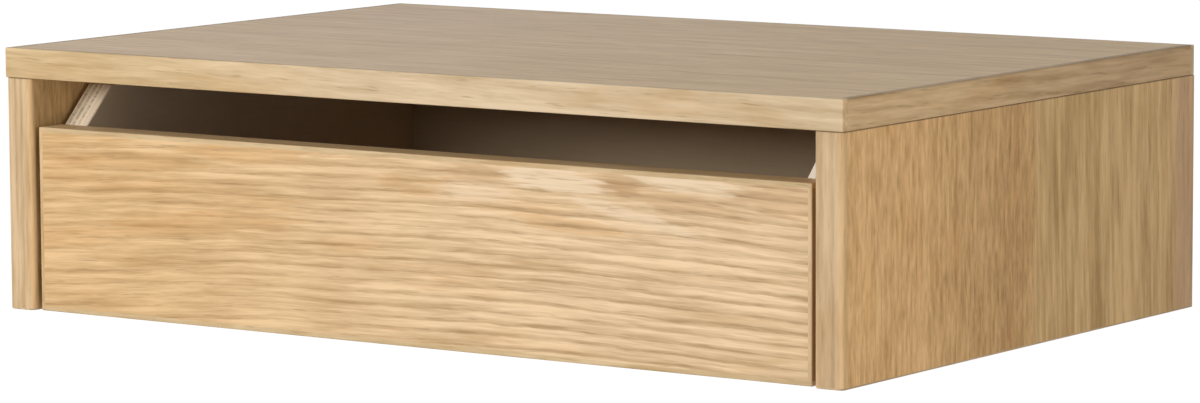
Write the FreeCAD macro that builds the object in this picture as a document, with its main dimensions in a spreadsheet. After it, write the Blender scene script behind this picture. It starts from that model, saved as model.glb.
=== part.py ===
import FreeCAD, Part
import os
import Sketcher
from FreeCAD import Placement, Rotation, Vector

# Wall drawer in veneered oak: a case that hangs on a wall, and one drawer with a finger gap.
# X runs to the right as seen from the front, Y towards the wall and Z up, in millimetres.
# The origin is the centre of the four wall-screw holes, on the rear face of the back panel.

SIZES = {
    # Case boards
    "case_width": 530,
    "case_depth": 350,
    "case_height": 141,
    "top_thickness": 16,
    "side_thickness": 17,
    "back_thickness": 16,
    # Solid oak on the edges of the case
    "lipping": 4,
    "lipping_radius": 3.5,
    "edge_band": 1,
    "edge_break": 0.7,
    # Drawer front
    "front_thickness": 18,
    "front_recess": 3.6,
    "front_gap": 2.7,
    "finger_gap": 26,
    "front_lipping": 2.5,
    # Drawer box
    "drawer_board": 16,
    "drawer_gap": 3,
    "drawer_headroom": 6,
    "drawer_lift": 10,
    "drawer_rear_gap": 4,
    "drawer_rounding": 1,
    "nose_drop": 3,
    "bottom_thickness": 6,
    "bottom_lift": 10,
    "bottom_groove": 6,
    "groove_clearance": 0.2,
    # Dowels
    "dowel_diameter": 8,
    "dowel_length": 30,
    "dowel_in_face": 10,
    "dowel_spacing": 32,
    "back_dowel_reach": 120,
    "drawer_dowel_inset": 8,
    "bore_clearance": 0.1,
    "bore_end_room": 0.5,
    # Cam locks and their bolts
    "cam_diameter": 15,
    "cam_depth": 12,
    "cam_distance": 24,
    "cam_inset": 60,
    "cam_socket": 5,
    "cam_socket_depth": 2.5,
    "bolt_head_diameter": 6.5,
    "bolt_head_length": 2.5,
    "bolt_neck_diameter": 4,
    "bolt_shank_diameter": 7,
    "bolt_thread_diameter": 5,
    "bolt_grip": 11,
    # Ball runners
    "rail_height": 17,
    "rail_sheet": 1,
    "rail_lift": 0.5,
    "rail_setback": 3,
    "rail_rear_gap": 27.4,
    "rail_room": 0.5,
    "ball_diameter": 3,
    "race_clearance": 0.05,
    "running_clearance": 0.3,
    "cage_sheet": 0.8,
    "cage_rim": 0.45,
    "cage_length": 76,
    "stop_tab": 1,
    "stop_tab_height": 4,
    "buffer_length": 6,
    # Screws
    "screw_socket": 2.6,
    "screw_socket_depth": 1,
    "rail_screw_inset": 37,
    "case_screw_diameter": 5,
    "case_screw_length": 11,
    "case_screw_head": 7,
    "case_screw_head_height": 1.8,
    "drawer_screw_diameter": 2.5,
    "drawer_screw_cover": 1.4,
    "drawer_screw_head_room": 0.9,
    "drawer_screw_head_height": 1.5,
    "bottom_screw_diameter": 3,
    "bottom_screw_length": 20,
    "bottom_screw_head": 6,
    "bottom_screw_head_height": 1.8,
    "bottom_screw_inset": 60,
    # Holes for the wall screws
    "wall_hole_diameter": 5.5,
    "wall_hole_sink": 11,
    "wall_hole_inset": 48,
    "wall_hole_spacing_z": 64,
}

BALLS_PER_ROW = 6
SCREWS_PER_RAIL = 3
SOCKET_SIDES = 6
SIDES = {"left": -1, "right": 1}
TOLERANCE = 1e-4

# Places in the case, each worked out from the sizes above.
HALF_WIDTH = "(dims.case_width / 2)"
INNER = f"({HALF_WIDTH} - dims.side_thickness)"
UNDERSIDE = "((dims.case_height - dims.top_thickness) / 2)"
TOP_FACE = f"({UNDERSIDE} + dims.top_thickness)"
FOOT = f"(-{UNDERSIDE})"
FRONT = "(-dims.case_depth)"
BACK_FACE = "(-dims.back_thickness)"
BACK_MIDDLE = "(-dims.back_thickness / 2)"
LIPPING_ROUNDING = "min(dims.lipping_radius; dims.lipping - dims.groove_clearance)"
# The top is fixed on lines midway between each board's inner face and the lipping above it.
SIDE_FIXING = f"(({INNER} + {HALF_WIDTH} - dims.lipping) / 2)"
BACK_FIXING = f"(({BACK_FACE} - dims.lipping) / 2)"
WALL_HOLE_OUT = f"({INNER} - dims.wall_hole_inset)"

# Places on the drawer.
FRONT_FACE = f"({FRONT} + dims.front_recess)"
FRONT_BACK = f"({FRONT_FACE} + dims.front_thickness)"
FRONT_TOP = f"({UNDERSIDE} - dims.finger_gap)"
NOSE_FOOT = f"({FRONT_TOP} - dims.nose_drop)"
FRONT_HALF = f"({INNER} - dims.front_gap)"
DRAWER_OUTER = f"({INNER} - dims.drawer_gap)"
DRAWER_INNER = f"({DRAWER_OUTER} - dims.drawer_board)"
DRAWER_MIDDLE = f"({DRAWER_OUTER} - dims.drawer_board / 2)"
DRAWER_FOOT = f"({FOOT} + dims.drawer_lift)"
DRAWER_TOP = f"({UNDERSIDE} - dims.drawer_headroom)"
DRAWER_REAR = f"({BACK_FACE} - dims.drawer_rear_gap)"
DRAWER_BACK_MIDDLE = f"({DRAWER_REAR} - dims.drawer_board / 2)"
BOTTOM_LOW = f"({DRAWER_FOOT} + dims.bottom_lift)"
BOTTOM_HIGH = f"({BOTTOM_LOW} + dims.bottom_thickness)"
BOTTOM_SLOT = (f"{BOTTOM_LOW} - dims.groove_clearance", f"{BOTTOM_HIGH} + dims.groove_clearance")
BOTTOM_HALF = f"({DRAWER_INNER} + dims.bottom_groove)"

# Places across a runner, measured from the case side towards the drawer.
RACE_INNER = "(dims.ball_diameter / 2 + dims.race_clearance)"
RACE_OUTER = f"({RACE_INNER} + dims.rail_sheet)"
CAGE_NEAR = "(dims.rail_sheet + dims.case_screw_head_height + dims.running_clearance)"
CAGE_FAR = f"({CAGE_NEAR} + dims.cage_sheet)"
BALL_ACROSS = f"({CAGE_FAR} + dims.running_clearance + {RACE_OUTER})"
RUNNER_DEPTH = f"({BALL_ACROSS} + {RACE_OUTER} + dims.running_clearance + dims.rail_sheet)"
DRAWER_WEB = f"({RUNNER_DEPTH} - dims.rail_sheet)"

# Heights on a runner, measured from its own middle. That lies by the middle of the drawer side's front end,
# so the runner stays between the dowels there.
RAIL_HALF = "(dims.rail_height / 2)"
BALL_UP = f"({RAIL_HALF} - dims.rail_sheet - {RACE_INNER})"
LIP_ROOM = "(dims.cage_sheet / 2 + dims.running_clearance)"
FLANGE_OUTER = f"({BALL_UP} - {RACE_INNER})"
CHANNEL = f"({BALL_UP} - {RACE_OUTER})"
RAIL_MIDDLE = f"(({NOSE_FOOT} + {BOTTOM_HIGH}) / 2 + dims.rail_lift)"

# Places along a runner. The drawer's travel ends when the cage is caught between both stop tabs.
RAIL_FRONT = f"({FRONT_BACK} + dims.rail_setback)"
RAIL_REAR = f"({DRAWER_REAR} - dims.rail_rear_gap)"
RAIL_LENGTH = f"({RAIL_REAR} - {RAIL_FRONT})"
BUFFER_FRONT = f"({RAIL_REAR} + dims.running_clearance)"
CABINET_RAIL_REAR = f"({BUFFER_FRONT} + dims.buffer_length)"
STOP_ROOM = "(dims.stop_tab + dims.running_clearance)"
TRAVEL = f"({RAIL_LENGTH} - dims.cage_length - 2 * {STOP_ROOM})"
CAGE_FRONT = f"({RAIL_FRONT} + {STOP_ROOM} + {TRAVEL} / 2)"
CAGE_REAR = f"({CAGE_FRONT} + dims.cage_length)"
RAIL_SCREW_STEP = f"(({RAIL_LENGTH} - 2 * dims.rail_screw_inset) / {SCREWS_PER_RAIL - 1})"

# Bores and the depth that a fastener takes in each board.
DOWEL_BORE = "(dims.dowel_diameter + 2 * dims.bore_clearance)"
DOWEL_IN_EDGE = "(dims.dowel_length - dims.dowel_in_face)"
DOWEL_FACE_BORE = "(dims.dowel_in_face + dims.bore_end_room)"
DOWEL_EDGE_BORE = f"({DOWEL_IN_EDGE} + dims.bore_end_room)"
BOLT_BORE = "(dims.bolt_shank_diameter + 2 * dims.bore_clearance)"
THREAD_BORE = "(dims.bolt_thread_diameter + 2 * dims.bore_clearance)"
THREAD_BORE_DEPTH = "(dims.bolt_grip + dims.bore_end_room)"
RUNNER_GROOVE = f"({RUNNER_DEPTH} - dims.drawer_gap)"
DRAWER_SCREW_HEAD = f"(2 * ({CHANNEL} - dims.drawer_screw_head_room))"
DRAWER_SCREW_LENGTH = f"(dims.drawer_board - {RUNNER_GROOVE} - dims.drawer_screw_cover)"
BOTTOM_SCREW_OUT = f"({DRAWER_INNER} - dims.bottom_screw_inset)"
BOTTOM_SCREW_GRIP = "(dims.bottom_screw_length - dims.bottom_thickness)"

# Where fasteners repeat: Y along the case sides and rails, Z up the corners, X under the drawer back.
CASE_CAM_YS = [f"{FRONT} + dims.cam_inset", "-dims.cam_inset"]
CASE_DOWEL_YS = [f"{FRONT} + dims.cam_inset + dims.dowel_spacing", "-dims.cam_inset - dims.dowel_spacing"]
BACK_DOWEL_ZS = ["dims.dowel_spacing", "-dims.dowel_spacing"]
DRAWER_DOWEL_ZS = [f"{NOSE_FOOT} - dims.drawer_dowel_inset", f"{BOTTOM_HIGH} + dims.drawer_dowel_inset"]
RAIL_SCREW_YS = [f"{RAIL_FRONT} + dims.rail_screw_inset + {index} * {RAIL_SCREW_STEP}"
                 for index in range(SCREWS_PER_RAIL)]
BOTTOM_SCREW_XS = [f"-{BOTTOM_SCREW_OUT}", "0", BOTTOM_SCREW_OUT]

# The origin plane that is square to each axis, and which way its sketches face along that axis.
PLANES = {"X": ("YZ_Plane", 1), "Y": ("XZ_Plane", -1), "Z": ("XY_Plane", 1)}

TURNS = {
    "+X": Rotation(Vector(0, 1, 0), 90),
    "-X": Rotation(Vector(0, 1, 0), -90),
    "+Y": Rotation(Vector(1, 0, 0), -90),
    "-Y": Rotation(Vector(1, 0, 0), 90),
    "+Z": Rotation(),
    "-Z": Rotation(Vector(1, 0, 0), 180),
}

doc = FreeCAD.newDocument("wall_drawer")
nodes = []


def make_sheet():
    """Keeps the driving dimensions in a spreadsheet, one named cell each."""
    dims = doc.addObject("Spreadsheet::Sheet", "dims")
    for row, (alias, size) in enumerate(SIZES.items(), start=1):
        dims.set(f"A{row}", alias)
        dims.set(f"B{row}", str(size))
        dims.setAlias(f"B{row}", alias)
    doc.recompute()
    return dims


sheet = make_sheet()


def number(expression):
    """What an expression comes to at the present sizes."""
    return float(sheet.evalExpression(expression))


def across(side, near, far):
    """The low and high X of a span between two distances from the middle, on one side."""
    if side > 0:
        return near, far
    return f"-({far})", f"-({near})"


def new_body(label):
    """Starts a sub-part that is padded and cut from sketches."""
    body = doc.addObject("PartDesign::Body", label)
    body.Label = label
    nodes.append(body)
    return body


def new_sketch(body, axis, place):
    """A sketch square to an axis, at a place along it."""
    role, sense = PLANES[axis]
    plane = next(feature for feature in body.Origin.OriginFeatures if feature.Role == role)
    sketch = body.newObject("Sketcher::SketchObject", "Sketch")
    sketch.AttachmentSupport = [(plane, "")]
    sketch.MapMode = "FlatFace"
    sketch.setExpression("AttachmentOffset.Base.z", f"{sense} * ({place})")
    return sketch


def fix_point(sketch, geometry, point, x, y):
    """Ties a point of the sketch to two expressions."""
    for kind, expression in (("DistanceX", x), ("DistanceY", y)):
        constraint = Sketcher.Constraint(kind, -1, 1, geometry, point, number(expression))
        index = sketch.addConstraint(constraint)
        sketch.setExpression(f"Constraints[{index}]", expression)


def draw_outline(sketch, points):
    """Draws a closed outline of straight lines through points given as expressions."""
    corners = [Vector(number(x), number(y), 0) for x, y in points]
    count = len(corners)
    first = sketch.GeometryCount
    for index, corner in enumerate(corners):
        sketch.addGeometry(Part.LineSegment(corner, corners[(index + 1) % count]))
    for index, (x, y) in enumerate(points):
        following = first + (index + 1) % count
        sketch.addConstraint(Sketcher.Constraint("Coincident", first + index, 2, following, 1))
        fix_point(sketch, first + index, 1, x, y)


def draw_rectangle(sketch, wide, high):
    """Draws a rectangle between a low and a high expression each way."""
    draw_outline(sketch, [(wide[0], high[0]), (wide[1], high[0]), (wide[1], high[1]), (wide[0], high[1])])


def draw_circles(sketch, diameter, centres):
    """Draws equal circles at centres given as expressions."""
    for x, y in centres:
        radius = number(diameter) / 2
        index = sketch.addGeometry(Part.Circle(Vector(number(x), number(y), 0), Vector(0, 0, 1), radius))
        fix_point(sketch, index, 3, x, y)
        size = sketch.addConstraint(Sketcher.Constraint("Diameter", index, 2 * radius))
        sketch.setExpression(f"Constraints[{size}]", diameter)


def pad(body, axis, span, draw):
    """Adds what draw() sketches, from the low to the high end of a span along an axis."""
    low, high = span
    sense = PLANES[axis][1]
    sketch = new_sketch(body, axis, low if sense > 0 else high)
    draw(sketch)
    feature = body.newObject("PartDesign::Pad", "Pad")
    feature.Profile = sketch
    feature.setExpression("Length", f"({high}) - ({low})")


def cut(body, axis, mouth, into, depth, draw):
    """Cuts what draw() sketches at the mouth, going up (1) or down (-1) the axis."""
    sketch = new_sketch(body, axis, mouth)
    draw(sketch)
    feature = body.newObject("PartDesign::Pocket", "Pocket")
    feature.Profile = sketch
    feature.setExpression("Length", depth)
    feature.Reversed = into == PLANES[axis][1]


def bore(body, axis, mouth, into, depth, diameter, centres):
    """Drills equal holes from one face."""
    cut(body, axis, mouth, into, depth, lambda sketch: draw_circles(sketch, diameter, centres))


def board(label, wide, deep, high):
    """A rectangular board between a low and a high expression along X, Y and Z."""
    body = new_body(label)
    pad(body, "Z", high, lambda sketch: draw_rectangle(sketch, wide, deep))
    return body


def lies_on(edge, axis, place):
    """Whether an edge lies in the plane square to an axis at a place."""
    at = number(place)
    return all(abs(getattr(vertex.Point, axis.lower()) - at) < TOLERANCE for vertex in edge.Vertexes)


def runs_along(edge, axis):
    """Whether an edge is parallel to an axis."""
    start, end = (vertex.Point for vertex in edge.Vertexes)
    along = abs(getattr(end - start, axis.lower()))
    return abs(along - (end - start).Length) < TOLERANCE


def is_rim(edge, radius):
    """Whether an edge is a full circle of this radius."""
    round_edge = isinstance(edge.Curve, Part.Circle) and len(edge.Vertexes) == 1
    return round_edge and abs(edge.Curve.Radius - radius) < TOLERANCE


def dress_edges(body, kind, property_name, size, wanted):
    """Rounds or chamfers the straight or round edges that wanted() picks."""
    doc.recompute()
    base = body.Tip
    names = [f"Edge{index}" for index, edge in enumerate(base.Shape.Edges, start=1) if wanted(edge)]
    if not names:
        raise RuntimeError(f"{body.Label}: no edge to dress")
    feature = body.newObject(f"PartDesign::{kind}", kind)
    feature.Base = (base, names)
    feature.setExpression(property_name, size)


def round_edges(body, radius, wanted):
    """Rounds the straight edges that wanted() picks."""
    dress_edges(body, "Fillet", "Radius", radius, lambda edge: len(edge.Vertexes) == 2 and wanted(edge))


def place(primitive, at, turn):
    """Puts a primitive at expressions for X, Y and Z, turned to face along an axis."""
    primitive.Placement = Placement(Vector(), TURNS[turn])
    for axis, expression in zip("xyz", at):
        primitive.setExpression(f"Placement.Base.{axis}", expression)


def rod(diameter, length, at, turn):
    """A round rod that starts at a point and runs along an axis."""
    cylinder = doc.addObject("Part::Cylinder", "Rod")
    cylinder.setExpression("Radius", f"({diameter}) / 2")
    cylinder.setExpression("Height", length)
    place(cylinder, at, turn)
    return cylinder


def shift(at, turn, distance):
    """A point moved by a distance along an axis."""
    moved = list(at)
    index = "XYZ".index(turn[1])
    moved[index] = f"({at[index]}) {turn[0]} ({distance})"
    return tuple(moved)


def opposite(turn):
    """The other way along the same axis."""
    return {"+": "-", "-": "+"}[turn[0]] + turn[1]


def fused(pieces):
    """One solid from pieces that meet."""
    union = doc.addObject("Part::MultiFuse", "Union")
    union.Shapes = pieces
    return union


def group(label, pieces):
    """A node that holds equal pieces as separate solids."""
    compound = doc.addObject("Part::Compound", label)
    compound.Label = label
    compound.Links = pieces
    nodes.append(compound)


def without(base, tool):
    """A piece with another shape cut out of it."""
    cut_piece = doc.addObject("Part::Cut", "Cut")
    cut_piece.Base = base
    cut_piece.Tool = tool
    return cut_piece


def socket(width, depth, mouth, into):
    """The hexagonal hollow that a driver fits, measured across its corners."""
    prism = doc.addObject("Part::Prism", "Socket")
    prism.Polygon = SOCKET_SIDES
    prism.setExpression("Circumradius", f"({width}) / 2")
    prism.setExpression("Height", depth)
    place(prism, mouth, into)
    return prism


def screw(seat, turn, diameter, length, head, head_height):
    """A screw with a flat head. Its shank runs along turn from the seat, its head the other way."""
    solid = fused([
        rod(diameter, length, seat, turn),
        rod(head, head_height, seat, opposite(turn)),
    ])
    mouth = shift(seat, opposite(turn), head_height)
    return without(solid, socket("dims.screw_socket", "dims.screw_socket_depth", mouth, turn))


def facing(side):
    """The way from the middle towards one side."""
    return "+X" if side > 0 else "-X"


def on_side(side, distance):
    """The X of a distance from the middle, on one side."""
    return f"{side} * ({distance})"


def make_top():
    """The top panel with solid lippings on its four edges."""
    inside = f"({HALF_WIDTH} - dims.lipping)"
    front_seam = f"({FRONT} + dims.lipping)"
    back_seam = "(-dims.lipping)"
    thickness = (UNDERSIDE, TOP_FACE)
    panel = board("top_panel", (f"-{inside}", inside), (front_seam, back_seam), thickness)
    side_dowels = [(on_side(side, SIDE_FIXING), y) for side in SIDES.values() for y in CASE_DOWEL_YS]
    back_dowels = [(on_side(side, "dims.back_dowel_reach"), BACK_FIXING) for side in SIDES.values()]
    bolts = [(on_side(side, SIDE_FIXING), y) for side in SIDES.values() for y in CASE_CAM_YS]
    bore(panel, "Z", UNDERSIDE, 1, DOWEL_FACE_BORE, DOWEL_BORE, side_dowels + back_dowels)
    bore(panel, "Z", UNDERSIDE, 1, THREAD_BORE_DEPTH, THREAD_BORE, bolts)

    whole = (f"-{HALF_WIDTH}", HALF_WIDTH)
    front = board("top_front_lipping", whole, (FRONT, front_seam), thickness)
    round_edges(front, "dims.edge_break", lambda edge: not lies_on(edge, "Y", front_seam))
    back = board("top_back_lipping", whole, (back_seam, "0"), thickness)
    round_edges(back, "dims.edge_break", lambda edge: not lies_on(edge, "Y", back_seam))
    for name, side in SIDES.items():
        wide = across(side, inside, HALF_WIDTH)
        end = board(f"top_{name}_lipping", wide, (front_seam, back_seam), thickness)
        outer = on_side(side, HALF_WIDTH)
        round_edges(end, "dims.edge_break", lambda edge: lies_on(edge, "X", outer) and runs_along(edge, "Y"))


def make_side(name, side):
    """A side panel, the rounded lipping on its front edge and the band under its foot."""
    wide = across(side, INNER, HALF_WIDTH)
    seam = f"({FRONT} + dims.lipping)"
    foot_seam = f"({FOOT} + dims.edge_band)"
    inner = on_side(side, INNER)
    fixing = on_side(side, SIDE_FIXING)
    panel = board(f"{name}_side_panel", wide, (seam, "0"), (foot_seam, UNDERSIDE))
    bore(panel, "Z", UNDERSIDE, -1, DOWEL_EDGE_BORE, DOWEL_BORE, [(fixing, y) for y in CASE_DOWEL_YS])
    bore(panel, "Z", UNDERSIDE, -1, "dims.cam_distance", BOLT_BORE, [(fixing, y) for y in CASE_CAM_YS])
    cam_height = f"{UNDERSIDE} - dims.cam_distance"
    cams = [(y, cam_height) for y in CASE_CAM_YS]
    bore(panel, "X", inner, side, "dims.cam_depth", "dims.cam_diameter", cams)
    dowels = [(BACK_MIDDLE, z) for z in BACK_DOWEL_ZS]
    bore(panel, "X", inner, side, DOWEL_FACE_BORE, DOWEL_BORE, dowels)
    bore(panel, "X", inner, side, THREAD_BORE_DEPTH, THREAD_BORE, [(BACK_MIDDLE, "0")])
    pilots = [(y, RAIL_MIDDLE) for y in RAIL_SCREW_YS]
    pilot_bore = "dims.case_screw_diameter + 2 * dims.bore_clearance"
    bore(panel, "X", inner, side, "dims.case_screw_length + dims.bore_end_room", pilot_bore, pilots)

    outer = on_side(side, HALF_WIDTH)
    round_edges(panel, "dims.edge_break",
                lambda edge: lies_on(edge, "X", outer) and lies_on(edge, "Z", UNDERSIDE))

    lipping = board(f"{name}_front_lipping", wide, (FRONT, seam), (foot_seam, UNDERSIDE))
    round_edges(lipping, LIPPING_ROUNDING,
                lambda edge: lies_on(edge, "Y", FRONT) and runs_along(edge, "Z"))
    round_edges(lipping, "dims.edge_break",
                lambda edge: lies_on(edge, "Z", UNDERSIDE) and not lies_on(edge, "Y", seam))

    band = board(f"{name}_foot_band", wide, (FRONT, "0"), (FOOT, foot_seam))
    round_edges(band, LIPPING_ROUNDING,
                lambda edge: lies_on(edge, "Y", FRONT) and runs_along(edge, "Z"))
    round_edges(band, "dims.edge_break",
                lambda edge: lies_on(edge, "Z", FOOT) and not lies_on(edge, "Y", "0"))


def make_back():
    """The back panel, with countersunk holes for the wall screws."""
    panel = board("back_panel", (f"-{INNER}", INNER), (BACK_FACE, "0"), (FOOT, UNDERSIDE))
    for side in SIDES.values():
        end = on_side(side, INNER)
        dowels = [(BACK_MIDDLE, z) for z in BACK_DOWEL_ZS]
        bore(panel, "X", end, -side, DOWEL_EDGE_BORE, DOWEL_BORE, dowels)
        bore(panel, "X", end, -side, "dims.cam_distance", BOLT_BORE, [(BACK_MIDDLE, "0")])
    top_dowels = [(on_side(side, "dims.back_dowel_reach"), BACK_FIXING) for side in SIDES.values()]
    bore(panel, "Z", UNDERSIDE, -1, DOWEL_EDGE_BORE, DOWEL_BORE, top_dowels)
    cams = [(on_side(side, f"{INNER} - dims.cam_distance"), "0") for side in SIDES.values()]
    bore(panel, "Y", BACK_FACE, 1, "dims.cam_depth", "dims.cam_diameter", cams)
    holes = [(on_side(side, WALL_HOLE_OUT), f"{level} * dims.wall_hole_spacing_z / 2")
             for side in SIDES.values() for level in (-1, 1)]
    bore(panel, "Y", BACK_FACE, 1, "dims.back_thickness", "dims.wall_hole_diameter", holes)
    rim_radius = number("dims.wall_hole_diameter") / 2
    dress_edges(panel, "Chamfer", "Size", "(dims.wall_hole_sink - dims.wall_hole_diameter) / 2",
                lambda edge: is_rim(edge, rim_radius) and lies_on(edge, "Y", BACK_FACE))


def make_case_dowels():
    """The dowels that line up the top, the sides and the back panel."""
    dowels = []
    for side in SIDES.values():
        for y in CASE_DOWEL_YS:
            at = (on_side(side, SIDE_FIXING), y, f"{UNDERSIDE} - {DOWEL_IN_EDGE}")
            dowels.append(rod("dims.dowel_diameter", "dims.dowel_length", at, "+Z"))
        at = (on_side(side, "dims.back_dowel_reach"), BACK_FIXING, f"{UNDERSIDE} - {DOWEL_IN_EDGE}")
        dowels.append(rod("dims.dowel_diameter", "dims.dowel_length", at, "+Z"))
        for z in BACK_DOWEL_ZS:
            at = (on_side(side, f"{INNER} - {DOWEL_IN_EDGE}"), BACK_MIDDLE, z)
            dowels.append(rod("dims.dowel_diameter", "dims.dowel_length", at, facing(side)))
    group("case_dowels", dowels)


def cam_lock(mouth, into, heart, bolt_turn):
    """A cam in its bore, hollowed for the bolt's head, with a driver socket in its face."""
    drum = rod("dims.cam_diameter - 2 * dims.bore_clearance", "dims.cam_depth", mouth, into)
    hollow_start = shift(heart, opposite(bolt_turn), "dims.running_clearance")
    hollow = rod("dims.bolt_head_diameter + 2 * dims.running_clearance", "dims.cam_diameter",
                 hollow_start, bolt_turn)
    return without(drum, fused([hollow, socket("dims.cam_socket", "dims.cam_socket_depth", mouth, into)]))


def cam_bolt(heart, turn):
    """A bolt with its head in the heart of a cam and its thread in the other board."""
    rim = shift(heart, turn, "dims.cam_diameter / 2")
    joint = shift(heart, turn, "dims.cam_distance")
    return fused([
        rod("dims.bolt_head_diameter", "dims.bolt_head_length", heart, turn),
        rod("dims.bolt_neck_diameter", "dims.cam_diameter / 2", heart, turn),
        rod("dims.bolt_shank_diameter", "dims.cam_distance - dims.cam_diameter / 2", rim, turn),
        rod("dims.bolt_thread_diameter", "dims.bolt_grip", joint, turn),
    ])


def make_cams():
    """The cam locks that pull the top to the sides and the sides to the back panel."""
    cams = []
    bolts = []
    for side in SIDES.values():
        for y in CASE_CAM_YS:
            height = f"{UNDERSIDE} - dims.cam_distance"
            heart = (on_side(side, SIDE_FIXING), y, height)
            cams.append(cam_lock((on_side(side, INNER), y, height), facing(side), heart, "+Z"))
            bolts.append(cam_bolt(heart, "+Z"))
        x = on_side(side, f"{INNER} - dims.cam_distance")
        heart = (x, BACK_MIDDLE, "0")
        cams.append(cam_lock((x, BACK_FACE, "0"), "+Y", heart, facing(side)))
        bolts.append(cam_bolt(heart, facing(side)))
    group("cam_locks", cams)
    group("cam_bolts", bolts)


def make_drawer_front():
    """The drawer front with lippings on its four edges."""
    inside = f"({FRONT_HALF} - dims.front_lipping)"
    low_seam = f"({FOOT} + dims.front_lipping)"
    high_seam = f"({FRONT_TOP} - dims.front_lipping)"
    deep = (FRONT_FACE, FRONT_BACK)
    panel = board("drawer_front", (f"-{inside}", inside), deep, (low_seam, high_seam))
    dowels = [(on_side(side, DRAWER_MIDDLE), z) for side in SIDES.values() for z in DRAWER_DOWEL_ZS]
    bore(panel, "Y", FRONT_BACK, -1, DOWEL_FACE_BORE, DOWEL_BORE, dowels)
    slot_half = f"({BOTTOM_HALF} + dims.groove_clearance)"
    cut(panel, "Y", FRONT_BACK, -1, "dims.bottom_groove + dims.groove_clearance",
        lambda sketch: draw_rectangle(sketch, (f"-{slot_half}", slot_half), BOTTOM_SLOT))

    whole = (f"-{FRONT_HALF}", FRONT_HALF)
    top = board("drawer_front_top_lipping", whole, deep, (high_seam, FRONT_TOP))
    round_edges(top, "dims.edge_break", lambda edge: not lies_on(edge, "Z", high_seam))
    foot = board("drawer_front_foot_lipping", whole, deep, (FOOT, low_seam))
    round_edges(foot, "dims.edge_break", lambda edge: not lies_on(edge, "Z", low_seam))
    for name, side in SIDES.items():
        wide = across(side, inside, FRONT_HALF)
        end = board(f"drawer_front_{name}_lipping", wide, deep, (low_seam, high_seam))
        outer = on_side(side, FRONT_HALF)
        round_edges(end, "dims.edge_break", lambda edge: lies_on(edge, "X", outer) and runs_along(edge, "Z"))


def make_drawer_side(name, side):
    """A plywood drawer side. Its front corner is cut at 45 degrees, from just below the front's top."""
    body = new_body(f"drawer_{name}_side")
    slope_end = f"({FRONT_BACK} + {DRAWER_TOP} - {NOSE_FOOT})"
    outline = [
        (FRONT_BACK, DRAWER_FOOT),
        (DRAWER_REAR, DRAWER_FOOT),
        (DRAWER_REAR, DRAWER_TOP),
        (slope_end, DRAWER_TOP),
        (FRONT_BACK, NOSE_FOOT),
    ]
    pad(body, "X", across(side, DRAWER_INNER, DRAWER_OUTER), lambda sketch: draw_outline(sketch, outline))
    nose_foot = number(NOSE_FOOT)
    round_edges(body, "dims.drawer_rounding", lambda edge: (
        not runs_along(edge, "X") and not runs_along(edge, "Z")
        and min(vertex.Z for vertex in edge.Vertexes) > nose_foot - TOLERANCE))

    outer = on_side(side, DRAWER_OUTER)
    inner = on_side(side, DRAWER_INNER)
    length = (FRONT_BACK, DRAWER_REAR)
    groove_half = f"({RAIL_HALF} + dims.rail_room)"
    groove = (f"{RAIL_MIDDLE} - {groove_half}", f"{RAIL_MIDDLE} + {groove_half}")
    cut(body, "X", outer, -side, RUNNER_GROOVE, lambda sketch: draw_rectangle(sketch, length, groove))
    cut(body, "X", inner, side, "dims.bottom_groove + dims.groove_clearance",
        lambda sketch: draw_rectangle(sketch, length, BOTTOM_SLOT))
    front_dowels = [(on_side(side, DRAWER_MIDDLE), z) for z in DRAWER_DOWEL_ZS]
    bore(body, "Y", FRONT_BACK, 1, DOWEL_EDGE_BORE, DOWEL_BORE, front_dowels)
    back_dowels = [(DRAWER_BACK_MIDDLE, z) for z in DRAWER_DOWEL_ZS]
    bore(body, "X", inner, side, DOWEL_FACE_BORE, DOWEL_BORE, back_dowels)
    groove_floor = on_side(side, f"{INNER} - {RUNNER_DEPTH}")
    pilot_bore = "dims.drawer_screw_diameter + 2 * dims.bore_clearance"
    pilots = [(y, RAIL_MIDDLE) for y in RAIL_SCREW_YS]
    bore(body, "X", groove_floor, -side, f"{DRAWER_SCREW_LENGTH} + dims.bore_end_room", pilot_bore, pilots)


def make_drawer_back_and_bottom():
    """The drawer back, and the bottom that slides in grooves and is screwed up into the back."""
    back = board("drawer_back", (f"-{DRAWER_INNER}", DRAWER_INNER),
                 (f"{DRAWER_REAR} - dims.drawer_board", DRAWER_REAR), (BOTTOM_HIGH, DRAWER_TOP))
    round_edges(back, "dims.drawer_rounding",
                lambda edge: lies_on(edge, "Z", DRAWER_TOP) and runs_along(edge, "X"))
    dowels = [(DRAWER_BACK_MIDDLE, z) for z in DRAWER_DOWEL_ZS]
    for side in SIDES.values():
        bore(back, "X", on_side(side, DRAWER_INNER), -side, DOWEL_EDGE_BORE, DOWEL_BORE, dowels)
    screws = [(x, DRAWER_BACK_MIDDLE) for x in BOTTOM_SCREW_XS]
    screw_bore = "dims.bottom_screw_diameter + 2 * dims.bore_clearance"
    bore(back, "Z", BOTTOM_HIGH, 1, f"{BOTTOM_SCREW_GRIP} + dims.bore_end_room", screw_bore, screws)

    bottom = board("drawer_bottom", (f"-{BOTTOM_HALF}", BOTTOM_HALF),
                   (f"{FRONT_BACK} - dims.bottom_groove", DRAWER_REAR), (BOTTOM_LOW, BOTTOM_HIGH))
    bore(bottom, "Z", BOTTOM_LOW, 1, "dims.bottom_thickness", screw_bore, screws)


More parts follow.
